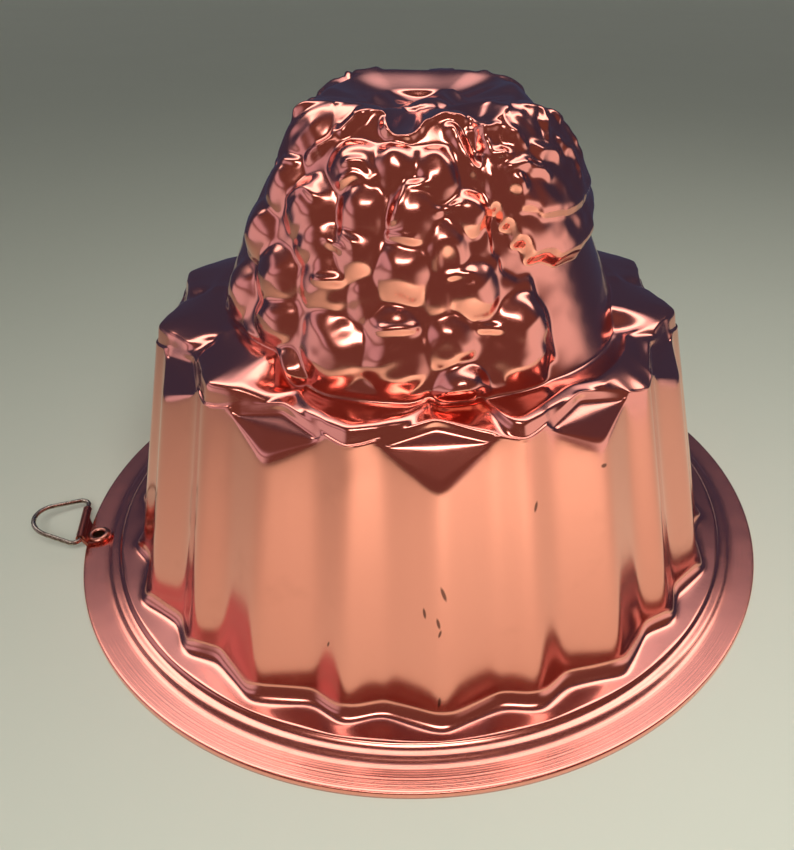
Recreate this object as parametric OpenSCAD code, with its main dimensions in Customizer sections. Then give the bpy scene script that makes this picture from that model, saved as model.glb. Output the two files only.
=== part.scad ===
// Fluted copper-coloured jelly and cake mould, standing mouth down on its round flange.
// Origin: centre of the flange on the resting plane. +Z goes up through the crown.
// The hanger, with its swinging ring, sticks out towards -X.

/* [Flange] */
// Outside diameter of the flange
flange_d = 208; // [196:1:220]
// Thickness of the mould's sheet
sheet = 0.8; // [0.6:0.05:1]
// Height of the turned-down lip that the mould stands on
lip_h = 1.7; // [1.6:0.1:2.4]
// Height of each of the two steps that rise inwards across the flange
step_h = 0.8; // [0.4:0.1:1.2]
// Radius of the outer step, as a share of the flange radius
outer_step = 0.928; // [0.925:0.001:0.932]
// Radius of the inner step, as a share of the flange radius
inner_step = 0.9; // [0.898:0.001:0.904]

/* [Flutes] */
// Number of wide flutes, each followed by one narrow flute
flutes = 12; // [10:1:13]
// Turn of the flutes about the vertical axis, in degrees
flute_turn = -9.3; // [-15:0.1:15]
// Radius of a wide flute's ridge at the foot, as a share of the flange radius
ridge_at = 0.866; // [0.85:0.001:0.87]
// Depth of the valleys between flutes at the foot
flute_depth = 4.4; // [3:0.1:5.5]
// How far a narrow flute's ridge stands behind a wide one's at the foot
narrow_back = 1.1; // [0.5:0.1:2]
// Height of the shoulder's outer edge above the table
edge_h = 68; // [60:1:76]
// Inward lean of the wall, in mm per mm of height
lean = 0.268; // [0.22:0.002:0.29]

/* [Crown] */
// Total height of the mould
total_h = 126; // [118:1:132]
// Radius of the crown where it rises from the shoulder, as a share of the flange radius
crown_at = 0.545; // [0.535:0.001:0.55]
// Radius of one grape
grape_r = 7; // [6:0.1:7.6]
// Height of one grape above the crown
grape_h = 3; // [2:0.1:4]
// Height of the leaf's lobes above the crown
leaf_h = 3; // [1:0.1:4]

/* [Hanger] */
// Diameter of the ring's wire
wire_d = 1.3; // [1.1:0.05:1.5]
// Width of the D-shaped ring along its straight bar, between wire centres
ring_w = 20; // [18:0.2:21]
// Reach of the ring from the bar to the middle of its far wire
ring_reach = 13.6; // [13:0.2:16]
// Angle at which the ring stands out, above level
ring_lift = 15; // [0:1:30]
// Running clearance between the bar and the strap's barrel, on the radius
bar_gap = 0.06; // [0.03:0.01:0.09]
// Thickness of the strap's sheet
strap_t = 0.5; // [0.4:0.05:0.6]
// Width of the strap's round end at the eyelet
strap_w = 7; // [6.8:0.1:7.2]
// Length of the strap's rolled barrel
barrel_w = 14; // [12:0.2:14.6]
// Height of the barrel above the flange's plate
barrel_h = 3; // [2.4:0.1:3.4]
// Outside diameter of the eyelet's head
eyelet_d = 6.4; // [6:0.1:6.6]
// Radius of the open hole through the eyelet
eyelet_bore = 1.6; // [1.4:0.05:1.65]

/* [Hidden] */
$fn = 96;
eps = 0.01;
R = flange_d / 2;
// heights of the flange's outer plate and of the ledge that the flutes stand on
plate_top = lip_h;
plate_bot = lip_h - sheet;
ledge = lip_h + 2 * step_h;
// radius where the flange ring ends and the fluted shell begins
join_r = 0.886 * R;
// one wide and one narrow flute
pitch = 360 / flutes;
half_wide = pitch * 0.313;
cols = flutes * 8;
// half the width of a step's ramp
half_ramp = 0.45;
// strap, barrel and eyelet: the strap's round end just clears the outer step
eye_x = -outer_step * R - half_ramp - strap_w / 2 - 0.1;
bar_x = -R - 0.8;
bar_z = plate_top + barrel_h;
barrel_in = wire_d / 2 + bar_gap;
barrel_out = barrel_in + strap_t;
tube_r = eyelet_bore + 0.4;
// the barrel reaches further to one side of the eyelet than to the other
barrel_y = 4;

copper = [0.86, 0.47, 0.37];
steel = [0.78, 0.74, 0.72];
dull = [0.55, 0.36, 0.32];

// ---- plan of the fluted wall ----

// angle from the nearest wide ridge
function fold(a) = abs((((a + pitch / 2) % pitch) + pitch) % pitch - pitch / 2);

// radius of a straight line drawn from (r1, a1) to (r2, a2), at angle a
function chord(r1, a1, r2, a2, a) =
    r1 * r2 * sin(a2 - a1) / (r1 * sin(a - a1) + r2 * sin(a2 - a));

function ridge_r(z) = ridge_at * R - lean * z;
function valley_r(z) = ridge_r(z) - flute_depth * (1 - 0.25 * z / edge_h);
function narrow_r(z) = ridge_r(z) - narrow_back;

function wall_r(p, z) = p < half_wide
    ? chord(ridge_r(z), 0, valley_r(z), half_wide, p)
    : chord(valley_r(z), half_wide, narrow_r(z), pitch / 2, p);

// share of the way to the valley, 0 on a ridge and 1 in a valley
function to_valley(p) = p < half_wide
    ? p / half_wide
    : (pitch / 2 - p) / (pitch / 2 - half_wide);

// angle of column i: the ridges, the valleys and one column between each pair
function column(i) =
    let (k = i % 8, base = floor(i / 8) * pitch,
         v = half_wide, n = pitch / 2)
    base + [0, v / 2, v, (v + n) / 2, n, pitch - (v + n) / 2, pitch - v, pitch - v / 2][k];

// ---- profile of the crown, from its foot (u = 0) to its middle (u = 1) ----

crown_foot = edge_h + 3.4;
rise = total_h - 0.7 - crown_foot;
function crown_r(u) = R * crown_at * lookup(u,
    [[0, 1], [0.06, 0.936], [0.16, 0.855], [0.26, 0.796], [0.37, 0.741], [0.5, 0.64],
     [0.64, 0.521], [0.74, 0.394], [0.8, 0.312], [0.88, 0.183], [1, 0]]);
function crown_z(u) = crown_foot + rise * lookup(u,
    [[0, 0], [0.06, 0.041], [0.16, 0.18], [0.26, 0.335], [0.37, 0.508], [0.5, 0.701],
     [0.64, 0.884], [0.74, 1], [0.8, 0.99], [0.88, 0.933], [1, 0.915]]);
// distance along the profile
crown_len = 1.66 * rise;

// ---- relief: two bunches of grapes, two leaves and two fruits, each pair half a turn apart ----

function arc(a) = (((a + 180) % 360) + 360) % 360 - 180;
function dist2(a, u, a0, u0) =
    pow(arc(a - a0) * PI / 180 * crown_r(u), 2) + pow((u - u0) * crown_len, 2);
function cap(d2, r, h) = d2 < r * r ? h * sqrt(1 - d2 / (r * r)) : 0;

// one row of grapes: height u0, how many, angle of the middle, spacing in degrees
rows = [[0.09, 6, -24, 15], [0.185, 6, -28, 16.5], [0.272, 5, -27, 15],
        [0.358, 5, -34, 16], [0.443, 5, -30, 16.5], [0.537, 3, -21, 16]];
function row_h(a, u, w) =
    max([for (k = [0:w[1] - 1])
        cap(dist2(a, u, w[2] + (k - (w[1] - 1) / 2) * w[3], w[0]), grape_r, grape_h)]);
function grapes(a, u) = max([for (w = rows) abs(u - w[0]) * crown_len < grape_r
    ? max(row_h(a, u, w), row_h(a + 180, u, w)) : 0]);

// a raised lobe: half its width in degrees and half its height as a share of the profile
function lobe(a, u, a0, u0, wide, high) =
    let (d = pow(arc(a - a0) / wide, 2) + pow((u - u0) / high, 2))
    d < 1 ? pow(1 - d, 0.6) : 0;
// a leaf: three lobes with ribs that spread from its stalk near the top
function leaf(a, u, a0) =
    let (m = max(lobe(a, u, a0, 0.5, 34, 0.2), lobe(a, u, a0 + 10, 0.37, 26, 0.11),
                 lobe(a, u, a0 - 18, 0.6, 26, 0.12)))
    m * leaf_h * (0.75 + 0.25 * cos(6 * arc(a - a0) + 500 * u));
function fruit(a, u, a0) = leaf_h * 0.6 * lobe(a, u, a0, 0.58, 32, 0.13);

// the relief dies away below the rim of the flat top
relief_end = 0.74;
function relief(a, u) = u > relief_end ? 0 : min(1, (relief_end - u) / 0.07) *
    max(grapes(a, u), leaf(a, u, 43), leaf(a, u, 223), fruit(a, u, -74), fruit(a, u, 106));

// point of the crown at angle a, pushed out along the profile's normal
function crown_pt(a, u, side) =
    let (du = 0.02, v = min(u, 1 - du),
         tr = crown_r(v + du) - crown_r(v), tz = crown_z(v + du) - crown_z(v),
         l = norm([tr, tz]), h = relief(a, u) - side * sheet)
    [crown_r(u) + h * tz / l, crown_z(u) - h * tr / l];

// ---- rows of the shell, as [radius, height] at column angle a ----

// places of the crown's rows along its profile: at each row of grapes, half way and on the top
crown_at_rows = [0, 0.045, 0.09, 0.137, 0.185, 0.229, 0.272, 0.315, 0.358, 0.4, 0.443, 0.49,
    0.537, 0.6, 0.67, 0.74, 0.84];
wall_rows = 12;
shell_rows = wall_rows + len(crown_at_rows);

// side 0 is the outer skin and side 1 the inner one, one sheet thickness behind it
function foot_pt(a, j, side) =
    let (p = fold(a), s = side * sheet, f = wall_r(p, ledge))
    j == 0 ? [join_r + 0.8, ledge - (side == 0 ? 0.1 : sheet - 0.1)] :
    j == 1 ? [join_r - 0.3, ledge - s] :
    j == 2 ? [f + 1.3 - s * 0.2, ledge + 0.1 - s] :
    j == 3 ? [f + 0.4 - s * 0.7, ledge + 0.7 - s * 0.7] :
    [f - 0.3 - s, ledge + 2.2 - s * 0.2];

// the pressed corner of a wide ridge: its crease and the gable above it, at the ridge
crease_x = 67.9;
crease_z = edge_h - 1.4;
gable_r = 63.6;
gable_z = edge_h + 2.6;
rim_z = edge_h + 2.8;
pocket_in = R * 0.556;

function upper_pt(a, j, side) =
    let (p = fold(a), t = to_valley(p), wide = p < half_wide, s = side * sheet,
         low = edge_h - (wide ? 1.4 + (1 - t) * 7.2 : 2),
         corner = edge_h - 0.4 + 1.2 * t * t,
         lens = 1 - pow(1 - p / (pitch / 2), 2),
         gable = wide ? gable_r + (67.4 - gable_r) * t : wall_r(p, corner) - 0.8,
         rim = min(R * 0.566 + 7.6 * lens, gable - 1.4),
         dip = 2.6 * sqrt(max(0, lens)))
    j == 5 ? [wall_r(p, edge_h * 0.5) - s, edge_h * 0.5] :
    j == 6 ? [wall_r(p, low) - s, low - s * 0.3] :
    j == 7 ? [(wide ? crease_x / cos(p) : wall_r(p, corner)) - s * 0.85,
              (wide ? crease_z : corner - 0.5) - s * 0.6] :
    j == 8 ? [gable - s * 0.5, (wide ? gable_z + (corner - gable_z) * t : corner + 0.3) - s] :
    j == 9 ? [rim - s * 0.2, rim_z - s] :
    j == 10 ? [(rim + pocket_in) / 2, rim_z - dip - s] :
    [pocket_in - s * 0.4, rim_z - s * 0.9];

function shell_pt(i, j, side) =
    let (c = column(i), a = c + flute_turn,
         q = j < 5 ? foot_pt(c, j, side) : j < wall_rows ? upper_pt(c, j, side)
             : crown_pt(a, crown_at_rows[j - wall_rows], side))
    [q[0] * sin(a), -q[0] * cos(a), q[1]];

function top_pt(side) = [0, 0, crown_z(1) - side * sheet];

module fluted_shell() {
    n = cols * shell_rows;
    last = (shell_rows - 1) * cols;
    points = concat(
        [for (side = [0, 1]) for (j = [0:shell_rows - 1]) for (i = [0:cols - 1])
            shell_pt(i, j, side)],
        [top_pt(0), top_pt(1)]);
    faces = concat(
        [for (j = [0:shell_rows - 2]) for (i = [0:cols - 1])
            let (k = (i + 1) % cols, b = j * cols)
            each [[b + i, b + cols + k, b + k], [b + i, b + cols + i, b + cols + k]]],
        [for (i = [0:cols - 1]) [last + i, 2 * n, last + (i + 1) % cols]],
        [for (j = [0:shell_rows - 2]) for (i = [0:cols - 1])
            let (k = (i + 1) % cols, b = n + j * cols)
            each [[b + i, b + k, b + cols + k], [b + i, b + cols + k, b + cols + i]]],
        [for (i = [0:cols - 1]) [n + last + i, n + last + (i + 1) % cols, 2 * n + 1]],
        [for (i = [0:cols - 1]) let (k = (i + 1) % cols)
            each [[i, k, n + k], [i, n + k, n + i]]]);
    polyhedron(points, faces, convexity = 10);
}

// the flange: turned-down lip, flat outer plate and two steps up to the ledge
module flange_ring() {
    top = [[join_r, ledge],
        [inner_step * R - half_ramp, ledge],
        [inner_step * R + half_ramp, lip_h + step_h],
        [outer_step * R - half_ramp, lip_h + step_h],
        [outer_step * R + half_ramp, lip_h]];
    edge = [[R - 0.5, lip_h], [R - 0.14, lip_h - 0.15], [R, lip_h - 0.5],
        [R, 0], [R - sheet, 0], [R - sheet, plate_bot]];
    under = [for (k = [4:-1:0]) top[k] - [0, sheet]];
    rotate_extrude($fn = 180) polygon(concat(top, edge, under));
}

module mould_shell() {
    color(copper) union() {
        difference() {
            flange_ring();
            translate([eye_x, 0, -1]) cylinder(r = tube_r, h = lip_h + 4);
        }
        fluted_shell();
    }
}

// a doubled sheet strap: flat under the eyelet's head, bent up and widened to the barrel
// side view from the round end out to the barrel, as [x, z]
bend_x = eye_x - strap_w / 2 + 0.4;
function strap_side() =
    let (inner = eye_x + strap_w / 2 + 1, top = plate_top + 2 * strap_t)
    [[inner, plate_top], [bend_x, plate_top], [bar_x, bar_z - strap_t - 0.2],
     [bar_x, bar_z + strap_t + 0.2], [bend_x + 0.5, top], [inner, top]];

// plan of one edge: a hollow curve from the barrel's end in to the round end
function strap_edge(side) =
    let (far = side * barrel_y + barrel_w / 2, near = strap_w / 2)
    [for (k = [0:8]) let (t = k / 8)
        [bar_x + (eye_x - bar_x) * t, side * (near + (far - near) * pow(1 - t, 2.4))]];

module hanger_strap() {
    far_edge = strap_edge(-1);
    color(copper) difference() {
        union() {
            translate([bar_x, barrel_y + barrel_w / 2, bar_z]) rotate([90, 0, 0])
                cylinder(r = barrel_out, h = barrel_w, $fn = 48);
            intersection() {
                translate([0, 2 * barrel_w, 0]) rotate([90, 0, 0])
                    linear_extrude(4 * barrel_w) polygon(strap_side());
                linear_extrude(20)
                    polygon(concat(strap_edge(1), [for (k = [8:-1:0]) far_edge[k]]));
            }
            translate([eye_x, 0, plate_top]) cylinder(r = strap_w / 2, h = 2 * strap_t);
        }
        translate([bar_x, barrel_y + barrel_w, bar_z]) rotate([90, 0, 0])
            cylinder(r = barrel_in, h = 2 * barrel_w, $fn = 48);
        translate([eye_x, 0, 0]) cylinder(r = tube_r, h = 10);
    }
}

// hollow eyelet: domed head above, tube through strap and flange, rolled edge below
module eyelet() {
    b = eyelet_bore;
    h = eyelet_d / 2;
    roll = tube_r + 0.55;
    top = plate_top + 2 * strap_t;
    color(dull) translate([eye_x, 0, 0]) rotate_extrude($fn = 64)
        polygon([[b, plate_bot - 0.4], [b, top + 0.4], [b + 0.25, top + 0.62],
            [b + 0.7, top + 0.7], [h - 0.35, top + 0.5], [h, top + 0.2], [h, top],
            [tube_r, top], [tube_r, plate_bot], [roll, plate_bot],
            [roll, plate_bot - 0.2], [roll - 0.2, plate_bot - 0.5],
            [b + 0.3, plate_bot - 0.6]]);
}

// D-shaped wire ring: straight bar in the barrel, two slanted arms and a round far side
corner = 1.9;
far_r = 7.4;
span_x = ring_reach - far_r - corner;
span_y = ring_w / 2 - corner;
span = norm([span_x, span_y]);
// slant of the arms, so that they run smoothly into the bends at both ends
tilt = atan2(span_y, span_x) - asin((far_r - corner) / span);
arm_x = -corner - corner * sin(tilt);
arm_y = span_y + corner * cos(tilt);
arm_l = sqrt(span * span - pow(far_r - corner, 2));

// the bends are a hair thicker than the straight wire, which runs a little way into them
bend_r = wire_d / 2 + 0.02;
into = 0.1;

module ring_side() {
    // bend at the end of the bar
    translate([-corner, span_y, 0]) rotate_extrude(angle = 90 + tilt, $fn = 96)
        translate([corner, 0]) circle(r = bend_r, $fn = 32);
    // slanted arm
    translate([arm_x, arm_y, 0]) rotate([0, 0, tilt]) rotate([0, -90, 0])
        translate([0, 0, -into]) cylinder(r = wire_d / 2, h = arm_l + 2 * into, $fn = 32);
}

// the ring stands at one end of its play along the barrel
slid = barrel_y + span_y - barrel_w / 2 - 0.1;

module hanging_ring() {
    color(steel) translate([bar_x, slid, bar_z]) rotate([0, ring_lift, 0]) {
        translate([0, span_y + into, 0]) rotate([90, 0, 0])
            cylinder(r = wire_d / 2, h = 2 * (span_y + into), $fn = 32);
        ring_side();
        mirror([0, 1, 0]) ring_side();
        translate([-ring_reach + far_r, 0, 0]) rotate([0, 0, 90 + tilt])
            rotate_extrude(angle = 180 - 2 * tilt, $fn = 96)
                translate([far_r, 0]) circle(r = bend_r, $fn = 32);
    }
}

mould_shell();
hanger_strap();
eyelet();
hanging_ring();
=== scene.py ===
"""Fluted copper-coloured mould, standing mouth down, with its swinging hanging ring.

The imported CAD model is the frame. Everything is in metres, with +Z up through the crown and the
hanger towards -X. Angles round the mould are measured from -Y towards +X.
"""

import math

import bpy
import numpy as np
from mathutils import Matrix, Vector


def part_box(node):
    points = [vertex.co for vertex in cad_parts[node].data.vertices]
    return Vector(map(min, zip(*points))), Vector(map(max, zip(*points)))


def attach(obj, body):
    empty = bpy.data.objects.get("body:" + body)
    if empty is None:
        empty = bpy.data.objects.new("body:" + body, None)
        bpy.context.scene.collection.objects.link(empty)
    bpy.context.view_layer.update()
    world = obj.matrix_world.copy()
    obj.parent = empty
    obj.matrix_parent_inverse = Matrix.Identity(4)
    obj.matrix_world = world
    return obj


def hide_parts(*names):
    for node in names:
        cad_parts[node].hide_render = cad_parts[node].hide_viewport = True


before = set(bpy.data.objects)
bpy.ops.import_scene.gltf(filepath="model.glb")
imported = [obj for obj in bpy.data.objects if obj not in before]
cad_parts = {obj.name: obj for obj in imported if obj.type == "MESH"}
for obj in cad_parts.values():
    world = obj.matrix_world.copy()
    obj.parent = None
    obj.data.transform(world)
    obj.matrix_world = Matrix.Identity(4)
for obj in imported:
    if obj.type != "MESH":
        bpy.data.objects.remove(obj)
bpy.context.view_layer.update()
MM = 0.001


# ---------------------------------------------------------------- sizes from the frame

shell_low, shell_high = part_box("mould_shell")
eye_low, eye_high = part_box("eyelet")

RADIUS = (shell_high.x - shell_low.x) / 2
SHEET = 0.8 * MM
LIP = 1.7 * MM
LIP_ROUND = 0.55 * MM
STEP = 0.8 * MM
LEDGE = LIP + 2 * STEP
OUTER_STEP = 0.928 * RADIUS
INNER_STEP = 0.9 * RADIUS
HALF_RAMP = 0.45 * MM

FLUTES = 12
FLUTE_TURN = math.radians(-9.3)
PITCH = 2 * math.pi / FLUTES
HALF_WIDE = PITCH * 0.313
LEAN = 0.268
RIDGE_AT = 0.866
FLUTE_DEPTH = 4.4 * MM
NARROW_BACK = 1.1 * MM
EDGE_H = 68 * MM

COLUMNS = FLUTES * 60
EYE = Vector(((eye_low.x + eye_high.x) / 2, 0, 0))
EYE_CUT = 2.35 * MM


def smoothstep(x):
    """0 below 0, 1 above 1 and an even S-curve between."""
    x = np.clip(x, 0, 1)
    return x * x * (3 - 2 * x)


def wrap(a):
    """An angle brought to within half a turn of zero."""
    return (a + math.pi) % (2 * math.pi) - math.pi


# ---------------------------------------------------------------- plan of the fluted wall

theta = np.arange(COLUMNS) * 2 * math.pi / COLUMNS
SHOWN_SIDE = -14.5
seen_angle = np.degrees(wrap(theta - math.radians(SHOWN_SIDE)))
turned = (theta - FLUTE_TURN + PITCH / 2) % PITCH - PITCH / 2
fold = np.abs(turned)
is_wide = fold < HALF_WIDE
to_valley = np.where(is_wide, fold / HALF_WIDE, (PITCH / 2 - fold) / (PITCH / 2 - HALF_WIDE))


def ridge_r(z):
    """Radius of the wide flutes' ridges."""
    return RIDGE_AT * RADIUS - LEAN * z


def valley_r(z):
    """Radius of the valleys, which grow a little shallower towards the top."""
    return ridge_r(z) - FLUTE_DEPTH * (1 - 0.25 * z / EDGE_H)


def chord(r1, a1, r2, a2, a):
    """Radius at angle a of the straight line from (r1, a1) to (r2, a2)."""
    return r1 * r2 * np.sin(a2 - a1) / (r1 * np.sin(a - a1) + r2 * np.sin(a2 - a))


def wall_r(z):
    """Radius of the wall in every column at height z, which may differ from column to column."""
    wide = chord(ridge_r(z), 0, valley_r(z), HALF_WIDE, np.minimum(fold, HALF_WIDE))
    narrow = chord(valley_r(z), HALF_WIDE, ridge_r(z) - NARROW_BACK, PITCH / 2,
                   np.maximum(fold, HALF_WIDE))
    return np.where(is_wide, wide, narrow)


# ---------------------------------------------------------------- meridian control lines

def every(value):
    """The same value in every column."""
    return np.full(COLUMNS, float(value))


def flange_line():
    """Lip, outer plate, two steps and ledge, the same in every column."""
    pts = [(RADIUS, 0), (RADIUS, LIP - LIP_ROUND)]
    for k in range(1, 5):
        a = k / 5 * math.pi / 2
        pts.append((RADIUS - LIP_ROUND * (1 - math.cos(a)), LIP - LIP_ROUND * (1 - math.sin(a))))
    pts += [(RADIUS - 0.6 * MM, LIP),
            (OUTER_STEP + HALF_RAMP, LIP), (OUTER_STEP - HALF_RAMP, LIP + STEP),
            (INNER_STEP + HALF_RAMP, LIP + STEP), (INNER_STEP - HALF_RAMP, LEDGE)]
    return [(every(r), every(z)) for r, z in pts]


def foot_line():
    """A soft, slightly uneven bend from the ledge up into the wall."""
    uneven = 0.35 * MM * (np.sin(7 * theta + 1) + np.sin(19 * theta) + np.sin(31 * theta + 2)) / 2
    foot = wall_r(every(LEDGE))
    return [(foot + 2.3 * MM + uneven, every(LEDGE)),
            (foot + 0.75 * MM + uneven / 2, every(LEDGE + 0.6 * MM)),
            (wall_r(every(LEDGE + 2.6 * MM)), every(LEDGE + 2.6 * MM))]


# the pressed corner at the top of each wide ridge, measured on the ridge's own middle plane
CHAMFER_Z = 59.3 * MM
CREASE_X, CREASE_Z = 67.9 * MM, 66.6 * MM
ROOF_X, ROOF_Z = 64.5 * MM, 68.4 * MM
GABLE_R, GABLE_Z = 64.1 * MM, 70.7 * MM
CORNER_Z = 67.6 * MM
CHAMFER_SHORTER = 2.6 * MM

# a dished pocket's height at the rim, its depth, and the radii where it closes and meets the crown
POCKET_Z, POCKET_DEEP = 71.0 * MM, 1.8 * MM
SHUT_R, CROWN_FOOT_R = 0.562 * RADIUS, 0.536 * RADIUS

# outer rim of the dished pockets on the shown side: seen angle and radius in flange radii
POCKETS = [(-25, 0.566), (-20, 0.605), (-16, 0.634), (-11, 0.654), (-7, 0.652), (-3, 0.634),
           (0, 0.606), (4.3, 0.562), (16, 0.562), (17.6, 0.63), (20, 0.663), (23, 0.667),
           (28, 0.652), (33, 0.627), (42, 0.612), (50, 0.605), (58, 0.59), (65, 0.566)]


def chamfer_meets_wall():
    """Height at which the chamfer's plane leaves the wall, in each column of a wide flute."""
    # the chamfer of the shown side's middle ridge reaches lowest
    ridge_angle = np.radians(seen_angle) - turned
    off_middle = np.abs(wrap(ridge_angle - FLUTE_TURN + math.radians(SHOWN_SIDE)))
    bottom_z = CHAMFER_Z + CHAMFER_SHORTER * np.clip(off_middle / PITCH, 0, 1)
    slope = (ridge_r(bottom_z) - CREASE_X) / (CREASE_Z - bottom_z)
    low, high = bottom_z - 1 * MM, every(CREASE_Z)
    for _ in range(30):
        mid = (low + high) / 2
        plane_x = ridge_r(bottom_z) - (mid - bottom_z) * slope
        inside = wall_r(mid) * np.cos(fold) < plane_x
        low, high = np.where(inside, mid, low), np.where(inside, high, mid)
    return (low + high) / 2


def shoulder_line():
    """Chamfer, crease, roof and gable of the pressed corners, then the pockets up to the crown."""
    t = np.where(is_wide, to_valley, 1)
    corner_z = CORNER_Z + 1.2 * MM * to_valley ** 2
    start = np.where(is_wide, chamfer_meets_wall(), corner_z - 1 * MM)
    crease_r = np.where(is_wide, CREASE_X / np.cos(fold), wall_r(corner_z - 0.3 * MM))
    crease_z = np.where(is_wide, CREASE_Z, corner_z - 0.3 * MM)
    roof_r = np.where(is_wide, (ROOF_X + (CREASE_X - ROOF_X) * t) / np.cos(fold) - 0.1 * MM,
                      wall_r(corner_z) - 0.1 * MM)
    roof_z = np.where(is_wide, ROOF_Z - (ROOF_Z - CREASE_Z - 0.1 * MM) * t, corner_z)
    gable_r = np.where(is_wide, GABLE_R + (67.4 * MM - GABLE_R) * t ** 1.3,
                       wall_r(corner_z) - 0.6 * MM)
    gable_z = np.where(is_wide, GABLE_Z + (corner_z - GABLE_Z) * t ** 1.5, corner_z + 0.1 * MM)
    # the dished pocket between two wide ridges is shaped like a lens, uneven on the shown side
    lens = 1 - np.clip((PITCH / 2 - fold) / (PITCH / 2), 0, 1) ** 2
    even = 0.566 + 0.088 * lens
    angles, radii = zip(*POCKETS)
    shown = (seen_angle > angles[0]) & (seen_angle < angles[-1])
    rim = np.where(shown, np.interp(seen_angle, angles, radii), even) * RADIUS
    rim_r = np.minimum(rim, gable_r - 2.2 * MM)
    width = np.clip((rim_r - SHUT_R) / (5 * MM), 0, 1)
    # the shoulder dips between the two shown pockets
    gap = shown * np.clip(1 - np.abs(seen_angle - 10.5) / 7, 0, 1)
    # away from the shown side the shoulder is a smooth hump with shallow pockets
    hump = 1 - smoothstep((seen_angle + 37) / 10) * smoothstep((74 - seen_angle) / 10)
    rim_z = POCKET_Z + 1.6 * MM * (hump - smoothstep(2 * gap))
    deep = POCKET_DEEP * np.sqrt(width) * (1 - 0.8 * hump) + 0.2 * MM
    inner_r = every(CROWN_FOOT_R)
    inner_z = rim_z - deep + 2.4 * MM * hump
    middle_r = (rim_r + inner_r) / 2
    middle_z = rim_z - 0.55 * deep + 1.3 * MM * hump
    return [(wall_r(start), start), (crease_r, crease_z), (roof_r, roof_z), (gable_r, gable_z),
            (rim_r + 1.2 * MM, rim_z - 0.42 * MM), (rim_r - 0.7 * MM, rim_z + 0.15 * MM),
            (middle_r, middle_z), (inner_r, inner_z)]


# ---------------------------------------------------------------- crown

# the crown's plain profile from its foot to the middle of the top: radius and height, in radii
CROWN_SHAPE = [(0.534, 0.663), (0.526, 0.674), (0.514, 0.693), (0.500, 0.72), (0.480, 0.765),
               (0.454, 0.82), (0.434, 0.86), (0.422, 0.90), (0.404, 0.95), (0.376, 1.0),
               (0.348, 1.05), (0.316, 1.10), (0.284, 1.145), (0.252, 1.18), (0.215, 1.21),
               (0.170, 1.22), (0.125, 1.22), (0.06, 1.22), (0, 1.22)]
CROWN_ROWS = 250
FLAT_STEPS = 60


def crown_profile():
    """Radius, height and outward normal of the plain profile, evenly spaced along it."""
    r, z = (np.array(c, float) * RADIUS for c in zip(*CROWN_SHAPE))
    step = np.arange(len(r))
    fine = np.linspace(0, len(r) - 1, 601)
    r, z = np.interp(fine, step, r), np.interp(fine, step, z)
    for _ in range(500):
        r[1:-1] = (r[:-2] + 2 * r[1:-1] + r[2:]) / 4
        z[1:-1] = (z[:-2] + 2 * z[1:-1] + z[2:]) / 4
    z[-FLAT_STEPS:] = z[-FLAT_STEPS]
    length = np.concatenate([[0], np.cumsum(np.hypot(np.diff(r), np.diff(z)))])
    even = np.linspace(0, length[-1], CROWN_ROWS)
    r, z = np.interp(even, length, r), np.interp(even, length, z)
    dr, dz = np.gradient(r, even), np.gradient(z, even)
    size = np.hypot(dr, dz)
    return even, r, z, dz / size, -dr / size


run, crown_r, crown_z, normal_r, normal_z = crown_profile()
RUN, THETA = np.meshgrid(run, theta, indexing="ij")
LOCAL_R = np.repeat(crown_r[:, None], COLUMNS, axis=1)
peak = int(np.argmax(crown_z))


def along_at(height):
    """Distance along the profile at a height given in radii."""
    return np.interp(height * RADIUS, crown_z[:peak + 1], run[:peak + 1])


def place(angle, height):
    """Distances round and up the crown, of every grid point from one place on it."""
    local = np.interp(along_at(height), run, crown_r)
    return wrap(THETA - math.radians(angle + SHOWN_SIDE)) * (LOCAL_R + local) / 2, \
        RUN - along_at(height)


def bump(angle, height, wide, tall, lift, edge=1.1):
    """A rounded lump: wide and tall are half-sizes in mm."""
    x, y = place(angle, height)
    d2 = (x / (wide * MM)) ** 2 + (y / (tall * MM)) ** 2
    return lift * MM * np.clip(1 - d2, 0, 1) ** edge


def stroke_distance(points):
    """Distance of every grid point from a line through (angle, height) places."""
    best = np.full_like(RUN, 1.0)
    spots = [place(*p) for p in points]
    for (x0, y0), (x1, y1) in zip(spots[:-1], spots[1:]):
        # both ends as seen from each grid point, so the grid point itself is the origin
        dx, dy = x1 - x0, y1 - y0
        t = np.clip(-(x0 * dx + y0 * dy) / np.maximum(dx * dx + dy * dy, 1e-12), 0, 1)
        best = np.minimum(best, np.hypot(x0 + t * dx, y0 + t * dy))
    return best


def ridge(points, width, lift):
    """A raised line along the points: half width and lift in mm."""
    d = stroke_distance(points) / (width * MM)
    return lift * MM * np.clip(1 - d, 0, 1) ** 1.2


def inside_outline(points):
    """How deep every grid point lies inside a closed outline, in metres, and 0 outside it."""
    corners = [place(*p) for p in points]
    inside = np.zeros(RUN.shape, bool)
    for (x0, y0), (x1, y1) in zip(corners, corners[1:] + corners[:1]):
        crosses = (y0 > 0) != (y1 > 0)
        at = x0 - y0 * (x1 - x0) / np.where(y1 == y0, 1e-9, y1 - y0)
        inside ^= crosses & (at > 0)
    return np.where(inside, stroke_distance(points + points[:1]), 0)


def pad(points, edge, lift):
    """A raised patch with a rounded edge: edge width and lift in mm."""
    d = np.clip(inside_outline(points) / (edge * MM), 0, 1)
    return lift * MM * np.sqrt(1 - (1 - d) ** 2)


def union(parts, sharp=5):
    """Soft union of lumps."""
    total = sum((np.clip(p, 0, None) / MM) ** sharp for p in parts)
    return MM * total ** (1 / sharp)


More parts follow.
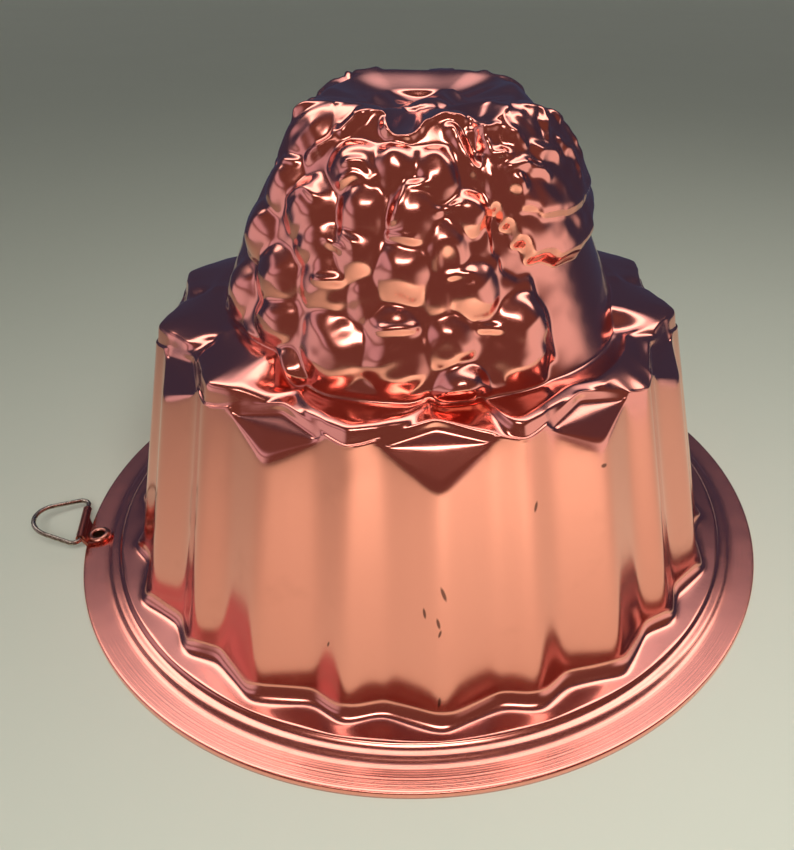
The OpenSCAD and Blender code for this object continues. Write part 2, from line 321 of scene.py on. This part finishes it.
# grapes: angle, height in radii, half width and half height in mm, lift in mm
GRAPES = [
    (-46, 0.684, 6.0, 6.0, 2.6), (-32, 0.684, 6.2, 6.0, 2.8), (-19, 0.745, 8.8, 8.2, 2.8),
    (-4, 0.745, 8.6, 8.2, 2.8), (12, 0.686, 6.4, 6.4, 4.4), (28, 0.735, 8.0, 7.6, 2.7),
    (-57, 0.800, 7.4, 7.4, 3.0), (-38, 0.778, 7.2, 6.2, 2.7), (-23, 0.788, 5.2, 5.4, 2.0),
    (-4, 0.797, 6.4, 6.2, 2.7), (10, 0.775, 6.0, 7.0, 2.7), (30, 0.785, 7.8, 7.6, 3.5),
    (-41, 0.860, 8.0, 7.4, 3.2), (-24, 0.875, 7.0, 8.0, 2.7), (-12, 0.860, 4.6, 6.8, 1.6),
    (-2, 0.905, 7.0, 7.4, 3.2), (17, 0.865, 6.2, 7.0, 3.2), (8, 0.865, 4.2, 6.2, 1.9),
    (-54, 0.930, 7.4, 7.6, 3.0), (-28, 0.945, 6.4, 6.8, 2.7), (-15, 0.935, 5.8, 7.4, 2.7),
    (10, 0.945, 5.2, 7.2, 2.7), (-33, 1.000, 7.6, 7.6, 3.5), (-15, 1.010, 6.0, 7.6, 3.0),
    (1, 1.005, 6.4, 8.0, 3.0), (-49, 1.030, 6.8, 7.4, 3.0), (18, 1.005, 5.4, 5.2, 2.7),
    (-21, 1.080, 5.6, 6.6, 2.4), (-6, 1.085, 5.0, 6.4, 2.2), (9, 1.070, 4.8, 7.2, 2.2),
]
# outline of the raised patch under the grapes: angle and height in radii
BUNCH = [(-68, 0.65), (-20, 0.64), (5, 0.64), (33, 0.65), (38, 0.74), (36, 0.85), (26, 0.90),
         (24, 0.96), (27, 1.05), (20, 1.12), (-30, 1.13), (-50, 1.09), (-64, 1.0), (-70, 0.85)]

# outlines of the leaf and of the raised fold inside it: angle and height in radii
RIGHT_LEAF = [(25, 1.07), (25, 1.02), (28, 0.99), (31, 0.955), (35, 0.92), (45, 0.885), (57, 0.878),
              (68, 0.90), (82, 0.95), (86, 1.03), (82, 1.12), (62, 1.18), (40, 1.185), (27, 1.14)]
LEAF_FOLD = [(31, 1.06), (33, 1.005), (40, 0.978), (50, 0.966), (62, 0.968), (76, 0.99), (80, 1.08),
             (70, 1.14), (50, 1.17), (36, 1.14)]
# thin pinched creases over the tops of the grapes
CREASES = [
    [(-51, 1.07), (-44, 1.073)], [(-21, 1.085), (-16, 1.09), (-12, 1.065)],
    [(-22, 1.053), (-18, 1.068), (-12, 1.06)], [(-41, 1.005), (-38, 1.022), (-34, 1.035), (-29, 1.02)],
    [(-23, 0.952), (-19, 0.943)], [(-20, 0.968), (-15, 0.953)], [(-6, 0.972), (1, 0.964)],
    [(-5, 0.994), (-1, 1.056), (5, 1.057)], [(8, 1.01), (14, 1.02)], [(10, 0.90), (16, 0.905)],
    [(-7, 0.80), (1, 0.805)], [(17, 0.80), (22, 0.79)], [(-25, 0.88), (-19, 0.885)],
]
# thick folded edges of the top and the leaf: line, half width and lift in mm
FOLDS = [
    ([(-39, 1.09), (-34, 1.12), (-27, 1.155), (-20, 1.187), (-13, 1.192), (-4, 1.18), (-10, 1.165),
      (-10, 1.153), (-6, 1.143), (-1, 1.143), (5, 1.169), (10, 1.182), (18, 1.181), (23, 1.166)],
     2.1, 1.7),
    ([(17, 1.15), (20, 1.10), (25, 1.06)], 2.4, 1.8),
    ([(25, 1.145), (34, 1.14), (40, 1.10)], 1.5, 1.3), ([(26, 1.135), (28, 1.10), (33, 1.087)], 1.4, 1.1),
    ([(47, 1.176), (59, 1.147), (53, 1.10)], 1.5, 1.3), ([(45, 1.09), (54, 1.069)], 1.9, 1.4),
    ([(31, 1.069), (39, 1.069), (46, 1.042)], 1.4, 1.2), ([(60, 1.09), (66, 1.05), (64, 1.02)], 1.6, 1.2),
    ([(-58, 1.15), (-50, 1.20), (-42, 1.195)], 2.2, 1.5), ([(66, 1.14), (72, 1.10), (74, 1.05)], 1.8, 1.3),
]


def leaf_relief():
    """The leaf right of the grapes, its fold and a small knob."""
    return pad(RIGHT_LEAF, 3.0, 3.0) + pad(LEAF_FOLD, 1.8, 1.3) + bump(34, 1.042, 2.3, 2.6, 1.3)


def top_relief():
    """The large fruit left of the grapes, and all the raised creases, folds and the small ring."""
    fruit = bump(-54, 1.12, 9.5, 10, 2.6, 0.8)
    creases = [ridge(line, 1.3, 1.1) for line in CREASES]
    folds = [ridge(*fold_line) for fold_line in FOLDS]
    x, y = place(35, 1.183)
    ring_r = 3.8 * MM
    ring = 2 * MM * np.clip(1 - np.abs(np.hypot(x, y) / ring_r - 1) * 2.4, 0, 1)
    return fruit, np.max(creases + folds + [ring], axis=0)


def crumple():
    """Fine unevenness of the thin pressed sheet, in metres."""
    rng = np.random.default_rng(11)
    x, y = THETA, RUN / MM
    total = np.zeros_like(RUN)
    for _ in range(26):
        turns = rng.integers(12, 46)
        pitch = rng.uniform(0.25, 1.3) * rng.choice([-1, 1])
        total += np.sin(turns * x + pitch * y + rng.uniform(0, 2 * math.pi)) / turns ** 0.5
    return total * 0.105 * MM


def one_side():
    """All the relief of the shown side of the crown."""
    bunch = pad(BUNCH, 3.0, 1.0) + union([bump(*grape) for grape in GRAPES])
    fruit, seams = top_relief()
    pits = bump(25, 0.965, 4.2, 4.6, 2.2, 1.5) + bump(10, 0.928, 2.6, 4.0, 1.4, 1.5)
    cover = union([bunch, fruit, leaf_relief()], 6)
    return cover + seams - pits


# height of the flat top's scalloped edge at angles round it, in radii
TOP_EDGE = [(-180, 1.203), (-150, 1.210), (-120, 1.196), (-85, 1.200), (-60, 1.186), (-30, 1.190),
            (-14, 1.183), (-6, 1.147), (0, 1.149), (7, 1.172), (15, 1.183), (23, 1.180),
            (30, 1.164), (42, 1.192), (65, 1.188), (90, 1.204), (118, 1.196), (145, 1.214),
            (180, 1.203)]


def eased(angle, table):
    """Value at an angle from a table of (angle, value), level at every entry of the table."""
    stops, values = (np.array(column, float) for column in zip(*table))
    k = np.clip(np.searchsorted(stops, angle) - 1, 0, len(stops) - 2)
    t = smoothstep((angle - stops[k]) / (stops[k + 1] - stops[k]))
    return values[k] + (values[k + 1] - values[k]) * t


def flat_top(r, z):
    """Slices the crown's dome off along the scalloped edge, leaving a shallow dish."""
    edge = eased(seen_angle, TOP_EDGE) * RADIUS
    middle = 1.160 * RADIUS
    reach = smoothstep((r / RADIUS - 0.06) / 0.19)
    cut = middle + (edge[None, :] - middle) * reach
    soft = 0.35 * MM
    return z - soft * np.logaddexp(0, (z - cut) / soft)


def top_bumps(r):
    """Shallow pressed lumps on the flat top, dying away at its middle and edge."""
    x, y = r * np.sin(theta), r * np.cos(theta)
    waves = np.sin(x / (3.1 * MM) + 1) * np.sin(y / (3.7 * MM)) + np.sin((x + y) / (4.9 * MM))
    share = r / RADIUS
    return 0.9 * MM * waves * smoothstep(share / 0.06) * smoothstep((0.25 - share) / 0.07)


def crown_relief(foot_z):
    """Relief over the whole crown, starting from the shoulder's height in each column."""
    side = one_side()
    half = COLUMNS // 2
    relief = union([side, np.roll(side, half, axis=1)], 6)
    # the left side, between the fruit and the next leaf, is pressed flatter
    relief = relief - bump(-101, 1.08, 25, 24, 4.6, 0.8)
    rough = smoothstep(relief / (1.5 * MM))
    foot = np.interp(foot_z, crown_z[:peak + 1], run[:peak + 1])
    foot_fade = smoothstep((RUN - foot) / (1.4 * MM))
    top_fade = smoothstep((run[-1] - RUN) / (14 * MM))
    return (relief + crumple() * (0.25 + rough)) * foot_fade * top_fade


def blur(grid, passes):
    """Rounds a grid's creases. Columns wrap round, and the first and last rows stay."""
    for _ in range(passes):
        grid = (np.roll(grid, 1, 1) + 2 * grid + np.roll(grid, -1, 1)) / 4
        grid = blur_rows(grid, 1)
    return grid


def blur_rows(grid, passes):
    """Rounds a grid up and down only. The first and last rows stay."""
    for _ in range(passes):
        grid = np.concatenate([grid[:1], (grid[:-2] + 2 * grid[1:-1] + grid[2:]) / 4, grid[-1:]])
    return grid


def blur_round(grid, passes):
    """Rounds a grid round the mould only."""
    for _ in range(passes):
        grid = (np.roll(grid, 1, 1) + 2 * grid + np.roll(grid, -1, 1)) / 4
    return grid


# ---------------------------------------------------------------- the whole outer skin

def fill(line, counts):
    """Straight rows between the control lines: counts[k] steps from line k to line k + 1."""
    rows_r, rows_z = [], []
    for (r0, z0), (r1, z1), n in zip(line[:-1], line[1:], counts):
        for k in range(n):
            t = k / n
            rows_r.append(r0 + (r1 - r0) * t)
            rows_z.append(z0 + (z1 - z0) * t)
    rows_r.append(line[-1][0])
    rows_z.append(line[-1][1])
    return np.array(rows_r), np.array(rows_z)


def outer_skin():
    """Radii and heights of the whole outer skin, and the number of rows in the flange."""
    line = flange_line() + foot_line()
    line += [(wall_r(every(z)), every(z)) for z in (LEDGE + 4 * MM, 20 * MM, 40 * MM)]
    line += shoulder_line()
    # rows between the control lines
    flange_counts = [2, 1, 1, 1, 1, 1, 14, 4, 6, 4]
    wall_counts = [6, 3, 3, 4, 12, 14, 18]
    top_counts = [12, 5, 7, 12, 8, 10, 10]
    r, z = fill(line, flange_counts + wall_counts + top_counts)
    relief = blur(crown_relief(z[-1]), 1)
    cr = crown_r[:, None] + relief * normal_r[:, None]
    cz = crown_z[:, None] + relief * normal_z[:, None]
    cz[:peak] = np.maximum(cz[:peak], z[-1] + 0.01 * MM * np.arange(peak)[:, None])
    cz = flat_top(cr, cz)
    cz[peak:] += top_bumps(cr[peak:])
    r, z = np.concatenate([r, cr[1:-1]]), np.concatenate([z, cz[1:-1]])
    flat = sum(flange_counts)
    wall_end = flat + sum(wall_counts)
    plate = slice(sum(flange_counts[:6]), flat)
    chamfer = slice(wall_end, wall_end + top_counts[0] + 2)
    pockets = slice(wall_end + sum(top_counts[:3]), wall_end + sum(top_counts))
    for grid in (r, z):
        grid[plate] = blur_rows(grid[plate], 10)
        grid[flat:wall_end] = blur_round(grid[flat:wall_end], 7)
        grid[chamfer] = blur_round(grid[chamfer], 4)
        grid[pockets] = blur_rows(grid[pockets], 9)
        grid[flat:] = blur(grid[flat:], 3)
    return r, z, flat


def to_points(r, z):
    """Grid points from radii and heights."""
    return np.stack([r * np.sin(theta), -r * np.cos(theta), z], axis=-1)


def grid_normals(p):
    """Outward unit normals of a closed grid of rows and columns."""
    round_ = np.roll(p, -1, 1) - np.roll(p, 1, 1)
    up = np.gradient(p, axis=0)
    n = np.cross(round_, up)
    return n / np.maximum(np.linalg.norm(n, axis=-1, keepdims=True), 1e-12)


def build_shell():
    """The closed skin of the sheet: outer and inner surface, mouth edge and eyelet hole."""
    r, z, flat = outer_skin()
    outer = to_points(r, z)
    rows = len(outer)
    inner = outer - SHEET * grid_normals(outer)
    # beneath the flange the inner skin follows the outer one straight down
    lip_rows = 6
    inner[:lip_rows] = outer[:lip_rows]
    lip_in = outer[0] * np.array([(RADIUS - SHEET) / RADIUS] * 2 + [1])
    for j in range(lip_rows):
        inner[j] = lip_in
        inner[j, :, 2] = (LIP - SHEET) * j / (lip_rows - 1)
    for j in range(lip_rows, flat + 2):
        inner[j, :, :2] = outer[j, :, :2]
        inner[j, :, 2] = outer[j, :, 2] - SHEET
    top_out = np.array([[0, 0, z[-1].mean()]])
    points = np.concatenate([outer.reshape(-1, 3), inner.reshape(-1, 3), top_out,
                             top_out - [[0, 0, SHEET]]])
    n = rows * COLUMNS
    j, i = np.meshgrid(np.arange(rows - 1), np.arange(COLUMNS), indexing="ij")
    k = (i + 1) % COLUMNS
    a, b = j * COLUMNS + i, j * COLUMNS + k
    c, d = (j + 1) * COLUMNS + k, (j + 1) * COLUMNS + i
    out_quads = np.stack([a, b, c, d], -1).reshape(-1, 4)
    in_quads = np.stack([a, d, c, b], -1).reshape(-1, 4) + n
    # the hole for the eyelet goes through both skins
    centre = outer.reshape(-1, 3)[out_quads].mean(1)
    hole = (np.hypot(centre[:, 0] - EYE.x, centre[:, 1]) < EYE_CUT) & (centre[:, 2] < 2 * LIP)
    cut = out_quads[hole]
    out_quads, in_quads = out_quads[~hole], in_quads[~hole]
    edges = {}
    for q in cut:
        for e in range(4):
            edges[(int(q[e]), int(q[(e + 1) % 4]))] = True
    sides = [(v, u, u + n, v + n) for u, v in edges if (v, u) not in edges]
    i = np.arange(COLUMNS)
    k = (i + 1) % COLUMNS
    bottom = np.stack([i, i + n, k + n, k], -1)
    last = (rows - 1) * COLUMNS
    fan_out = [(last + a, last + (a + 1) % COLUMNS, 2 * n) for a in range(COLUMNS)]
    fan_in = [(n + last + (a + 1) % COLUMNS, n + last + a, 2 * n + 1) for a in range(COLUMNS)]
    faces = [tuple(map(int, f)) for f in np.concatenate([out_quads, in_quads, bottom])]
    faces += sides + fan_out + fan_in
    mesh = bpy.data.meshes.new("mould_shell_skin")
    mesh.from_pydata(points.tolist(), [], faces)
    mesh.validate()
    mesh.update()
    mesh.shade_smooth()
    obj = bpy.data.objects.new("mould_shell_skin", mesh)
    bpy.context.scene.collection.objects.link(obj)
    return obj


# ---------------------------------------------------------------- node helpers

class Tree:
    """Short calls for building a node tree."""

    def __init__(self, tree):
        self.tree = tree
        self.tree.nodes.clear()

    def put(self, socket, value):
        """Links a node's output to the socket, or sets the socket's plain value."""
        if isinstance(value, bpy.types.NodeSocket):
            self.tree.links.new(value, socket)
        else:
            socket.default_value = value

    def new(self, kind, **inputs):
        """A new node, with the inputs that are named."""
        node = self.tree.nodes.new(kind)
        for name, value in inputs.items():
            self.put(node.inputs[name.replace("_", " ")], value)
        return node

    def math(self, op, a, b=0.0, c=0.0, clamp=False):
        """The result of one sum on up to three values."""
        node = self.tree.nodes.new("ShaderNodeMath")
        node.operation = op
        node.use_clamp = clamp
        for socket, value in zip(node.inputs, (a, b, c)):
            self.put(socket, value)
        return node.outputs[0]

    def mix(self, fac, a, b):
        """Colour a where fac is 0 and b where it is 1."""
        node = self.tree.nodes.new("ShaderNodeMix")
        node.data_type = "RGBA"
        self.put(node.inputs[0], fac)
        self.put(node.inputs[6], a if not isinstance(a, tuple) else (*a, 1))
        self.put(node.inputs[7], b if not isinstance(b, tuple) else (*b, 1))
        return node.outputs[2]

    def s_curve(self, value, low, high):
        """0 at low, 1 at high and an even S-curve between."""
        node = self.new("ShaderNodeMapRange", Value=value, From_Min=low, From_Max=high)
        node.interpolation_type = "SMOOTHSTEP"
        return node.outputs[0]

    def either(self, test, no, yes):
        """One of two shaders, by a test that is 0 or 1."""
        node = self.tree.nodes.new("ShaderNodeMixShader")
        for socket, value in zip(node.inputs, (test, no, yes)):
            self.put(socket, value)
        return node.outputs[0]


class Nodes(Tree):
    """Short calls for building one material's node tree."""

    def __init__(self, name):
        self.material = bpy.data.materials.new(name)
        self.material.use_nodes = True
        super().__init__(self.material.node_tree)
        self.out = self.tree.nodes.new("ShaderNodeOutputMaterial")
        self.shader = self.tree.nodes.new("ShaderNodeBsdfPrincipled")
        self.tree.links.new(self.shader.outputs[0], self.out.inputs[0])

    def coords(self):
        return self.tree.nodes.new("ShaderNodeTexCoord").outputs["Object"]

    def mapped(self, vector, scale):
        node = self.tree.nodes.new("ShaderNodeMapping")
        self.put(node.inputs["Vector"], vector)
        node.inputs["Scale"].default_value = scale
        return node.outputs[0]

    def noise(self, vector, scale, detail=3.0, rough=0.5):
        node = self.new("ShaderNodeTexNoise", Vector=vector, Scale=scale, Detail=detail,
                        Roughness=rough)
        return node.outputs["Fac"]

    def ramp(self, value, stops):
        """Colours along 0 to 1: each stop is a place and a colour."""
        node = self.tree.nodes.new("ShaderNodeValToRGB")
        self.put(node.inputs[0], value)
        spots = node.color_ramp.elements
        while len(spots) < len(stops):
            spots.new(0.5)
        for spot, (at, colour) in zip(spots, stops):
            spot.position = at
            spot.color = (*colour, 1)
        return node.outputs[0]

    def bump(self, height, distance, strength=1.0, normal=None):
        node = self.new("ShaderNodeBump", Height=height, Distance=distance, Strength=strength)
        if normal is not None:
            self.put(node.inputs["Normal"], normal)
        return node.outputs[0]

    def set(self, **inputs):
        """Sets the shader's inputs and gives the finished material."""
        for name, value in inputs.items():
            if isinstance(value, tuple) and len(value) == 3:
                value = (*value, 1)
            self.put(self.shader.inputs[name.replace("_", " ")], value)
        return self.material


COPPER = (0.94, 0.35, 0.285)


# small dark nicks in the wall: angle, height, half length and half width in mm
NICKS = [(5.5, 36, 2.2, 0.5), (2.5, 31, 1.5, 0.4), (4.6, 29, 1.6, 0.45), (4.8, 26.5, 1.2, 0.35),
         (4.5, 9, 1.6, 0.4), (21.5, 52, 1.4, 0.5), (35, 57, 0.6, 1.0), (-13, 20, 1.0, 0.3)]


def nick_mask(m, at):
    """1 on the small dark nicks of the wall and 0 elsewhere."""
    total = 0.0
    for angle, height, half_tall, half_wide in NICKS:
        a = math.radians(angle + SHOWN_SIDE)
        r = ridge_r(height * MM) - 1.5 * MM
        spot = m.tree.nodes.new("ShaderNodeMapping")
        spot.vector_type = "TEXTURE"
        m.put(spot.inputs["Vector"], at)
        spot.inputs["Location"].default_value = (r * math.sin(a), -r * math.cos(a), height * MM)
        spot.inputs["Rotation"].default_value = (0, math.radians(18 * math.sin(height)), a)
        spot.inputs["Scale"].default_value = (half_wide * MM, 5 * MM, half_tall * MM)
        length = m.tree.nodes.new("ShaderNodeVectorMath")
        length.operation = "LENGTH"
        m.put(length.inputs[0], spot.outputs[0])
        near = m.math("SUBTRACT", 1.0, length.outputs["Value"], clamp=True)
        total = m.math("ADD", total, near, clamp=True)
    return m.math("MULTIPLY", total, 2.5, clamp=True)


def plate_mask(m, at):
    """1 on the flange's satin plate and 0 on the wall, and the radius in flange radii."""
    split = m.new("ShaderNodeSeparateXYZ", Vector=at)
    x, y = split.outputs[:2]
    r2 = m.math("ADD", m.math("MULTIPLY", x, x), m.math("MULTIPLY", y, y))
    r = m.math("DIVIDE", m.math("SQRT", r2), RADIUS)
    plate = m.math("MULTIPLY", m.math("SUBTRACT", r, 0.89), 22.0, clamp=True)
    return plate, r


def copper_material(name, tint=COPPER, dull=0.0):
    """Bright copper-coloured anodised sheet: drawn, handled and lightly scratched."""
    m = Nodes(name)
    at = m.coords()
    cloud = m.noise(at, 22, 4)
    fine = m.noise(at, 260, 3)
    worn = m.ramp(m.noise(at, 75, 6, 0.65), [(0.58, (0, 0, 0)), (0.72, (1, 1, 1))])
    base = m.mix(cloud, tint, tuple(c * s for c, s in zip(tint, (0.96, 0.88, 0.86))))
    base = m.mix(m.math("MULTIPLY", worn, 0.12), base, (0.55, 0.2, 0.14))
    rough = m.math("MULTIPLY_ADD", cloud, 0.07, 0.10 + dull)
    rough = m.math("MULTIPLY_ADD", fine, 0.05, rough)
    rough = m.math("MULTIPLY_ADD", worn, 0.06, rough)
    plate, radius = plate_mask(m, at)
    rough = m.math("MULTIPLY_ADD", plate, 0.06, rough)
    base = m.mix(m.math("MULTIPLY", nick_mask(m, at), 0.85), base, (0.10, 0.03, 0.025))
    wave = m.bump(m.noise(at, 38, 2), 0.00035, 0.5)
    skin = m.bump(m.noise(m.mapped(at, (1, 1, 0.12)), 900, 2), 0.00001, 0.6, wave)
    # fine spun rings on the flange
    rings = m.noise(m.new("ShaderNodeCombineXYZ", X=m.math("MULTIPLY", radius, 90.0)).outputs[0], 3, 3)
    spun = m.bump(m.math("MULTIPLY", rings, plate), 0.00012, 0.35, skin)
    return m.set(Base_Color=base, Metallic=1.0, Roughness=rough, Normal=spun,
                 Coat_Weight=0.25, Coat_Roughness=0.12)


def steel_material():
    """Dull plated wire, spotted with age."""
    m = Nodes("plated_wire")
    at = m.coords()
    spots = m.ramp(m.noise(at, 900, 5, 0.6), [(0.45, (0, 0, 0)), (0.7, (1, 1, 1))])
    base = m.mix(spots, (0.36, 0.30, 0.26), (0.16, 0.11, 0.09))
    rough = m.math("MULTIPLY_ADD", spots, 0.25, 0.2)
    normal = m.bump(m.noise(at, 2500, 3), 0.00003, 0.5)
    return m.set(Base_Color=base, Metallic=1.0, Roughness=rough, Normal=normal)


def floor_material(name):
    """Plain pale matt board."""
    m = Nodes("pale_" + name)
    at = m.coords()
    base = m.mix(m.noise(at, 6, 3), (0.60, 0.62, 0.53), (0.63, 0.65, 0.56))
    rough = m.math("MULTIPLY_ADD", m.noise(at, 180, 4), 0.1, 0.5)
    normal = m.bump(m.noise(at, 700, 4), 0.0001, 0.15)
    return m.set(Base_Color=base, Roughness=rough, Normal=normal)


# ---------------------------------------------------------------- pieces

shell = build_shell()
shell.data.materials.append(copper_material("anodised_copper"))
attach(shell, "mould")
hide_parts("mould_shell")

strap_look = copper_material("strap_copper", (0.42, 0.12, 0.09), 0.05)
eyelet_look = copper_material("eyelet_copper", (0.42, 0.17, 0.13), 0.05)
wire_look = steel_material()
for node, look in (("hanger_strap", strap_look), ("eyelet", eyelet_look),
                   ("hanging_ring", wire_look)):
    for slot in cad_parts[node].material_slots:
        slot.material = look


# ---------------------------------------------------------------- floor, light and camera

def make_floor(name, corners, height):
    """A flat sheet of the pale floor, in axes turned to the shown side."""
    mesh = bpy.data.meshes.new(name)
    mesh.from_pydata([(x, y, height) for x, y in corners], [], [(0, 1, 2, 3)])
    mesh.transform(Matrix.Rotation(math.radians(SHOWN_SIDE), 4, "Z"))
    floor = bpy.data.objects.new(name, mesh)
    bpy.context.scene.collection.objects.link(floor)
    mesh.materials.append(floor_material(name))
    floor.visible_shadow = False
    return floor


def make_floors():
    """The endless floor that the camera sees, and the smaller table that the metal mirrors."""
    far = 4.0
    seen = make_floor("floor", [(-far, -far), (far, -far), (far, far), (-far, far)], 0)
    seen.visible_glossy = False
    table = make_floor("table", [(-0.8, -far), (0.34, -far), (0.34, 0.3), (-0.55, 0.3)], -0.3 * MM)
    table.visible_camera = False


def make_lamp():
    """A soft lamp over the floor in front of the mould. The metal doesn't mirror it."""
    place, target = Vector((0.1, -0.80, 0.7)), Vector((0.06, -0.42, 0))
    data = bpy.data.lights.new("overhead", "AREA")
    data.shape = "RECTANGLE"
    data.size = data.size_y = 0.5
    data.energy = 3.3
    data.color = (1, 0.98, 0.94)
    data.spread = math.radians(80)
    light = bpy.data.objects.new("overhead", data)
    light.location = place
    light.rotation_euler = (target - place).to_track_quat("-Z", "Y").to_euler()
    light.visible_glossy = False
    bpy.context.scene.collection.objects.link(light)


def mirrored_room(w):
    """Colour that the metal mirrors above the table, in axes turned to the shown side."""
    where = w.tree.nodes.new("ShaderNodeTexCoord").outputs["Generated"]
    turn = w.new("ShaderNodeMapping", Vector=where, Rotation=(0, 0, math.radians(-SHOWN_SIDE)))
    x, y, z = w.new("ShaderNodeSeparateXYZ", Vector=turn.outputs[0]).outputs

    def times(a, b):
        return w.math("MULTIPLY", a, b)

    def band(value, low, high, soft):
        """1 between low and high, fading to 0 over the soft width inside each end."""
        return times(w.s_curve(value, low, low + soft), w.s_curve(value, high, high - soft))

    room = w.mix(w.s_curve(y, -0.25, 0.3), (0.16, 0.085, 0.07), (0.045, 0.055, 0.10))
    # pale walls low down on both sides of the front half, and a pale patch above the left one
    front_half = w.s_curve(y, 0.35, 0.05)
    low_front = times(w.s_curve(z, 0.34, 0.14), front_half)
    room = w.mix(times(w.s_curve(x, 0.55, 0.9), low_front), room, (0.88, 0.86, 0.80))
    room = w.mix(times(w.s_curve(x, -0.55, -0.9), low_front), room, (0.66, 0.64, 0.68))
    patch = times(w.s_curve(z, 0.30, 0.38), w.s_curve(z, 0.66, 0.54))
    patch = times(w.s_curve(x, -0.60, -0.80), times(patch, front_half))
    room = w.mix(patch, room, (0.62, 0.57, 0.66))
    # a window high at the back, a bright strip across it and a lamp high in front
    window = times(w.s_curve(z, 0.62, 0.79), w.s_curve(y, 0.10, 0.34))
    room = w.mix(window, room, (0.98, 1.0, 1.05))
    strip = times(band(y, 0.19, 0.48, 0.07), w.s_curve(z, 0.56, 0.66))
    strip = times(strip, band(x, -0.76, 0.80, 0.14))
    room = w.mix(strip, room, (2.9, 2.8, 2.55))
    lamp = times(band(y, -0.57, -0.37, 0.07), w.s_curve(z, 0.7, 0.8))
    lamp = times(lamp, times(w.s_curve(x, -0.42, -0.12), w.s_curve(x, 0.36, 0.1)))
    return w.mix(lamp, room, (9, 8.7, 8.0))


def make_world():
    """Pale to the camera, a soft fill for matt surfaces, and a light and dark room for mirrors."""
    world = bpy.data.worlds.new("studio")
    world.use_nodes = True
    w = Tree(world.node_tree)
    seen = w.new("ShaderNodeBackground", Color=(0.62, 0.65, 0.6, 1)).outputs[0]
    fill_light = w.new("ShaderNodeBackground", Color=(0.155, 0.16, 0.145, 1)).outputs[0]
    mirrored = w.new("ShaderNodeBackground", Color=mirrored_room(w)).outputs[0]
    path = w.tree.nodes.new("ShaderNodeLightPath").outputs
    lit = w.either(path["Is Glossy Ray"], fill_light, mirrored)
    w.new("ShaderNodeOutputWorld", Surface=w.either(path["Is Camera Ray"], lit, seen))
    bpy.context.scene.world = world


def make_camera():
    """A camera at the photograph's viewing angle, in flange radii round the flange's centre."""
    elevation, roll = math.radians(33.465), math.radians(-0.535)
    azimuth = math.radians(SHOWN_SIDE)
    ce, se = math.cos(elevation), math.sin(elevation)
    right = np.array([1, 0, 0])
    forward = np.array([0, ce, -se])
    down = np.array([0, -se, -ce])
    cr, sr = math.cos(roll), math.sin(roll)
    turn = np.array([cr * right + sr * down, -sr * right + cr * down, forward])
    # where the flange's centre lies from the camera: right, down and forward
    centre_seen = np.array([-0.0854, 0.2163, 2.3119])
    place = -turn.T @ centre_seen
    axes = Matrix([turn[0], -turn[1], -turn[2]]).transposed().to_4x4()
    data = bpy.data.cameras.new("camera")
    data.sensor_width = 36
    data.lens = 30.494
    data.shift_x = -0.06235
    data.clip_start, data.clip_end = 0.01, 20
    camera = bpy.data.objects.new("camera", data)
    bpy.context.scene.collection.objects.link(camera)
    camera.matrix_world = (Matrix.Rotation(azimuth, 4, "Z")
                           @ Matrix.Translation(Vector(place) * RADIUS) @ axes)
    bpy.context.scene.camera = camera


make_floors()
make_world()
make_lamp()
make_camera()

scene = bpy.context.scene
scene.view_settings.view_transform = "Standard"
scene.view_settings.look = "None"
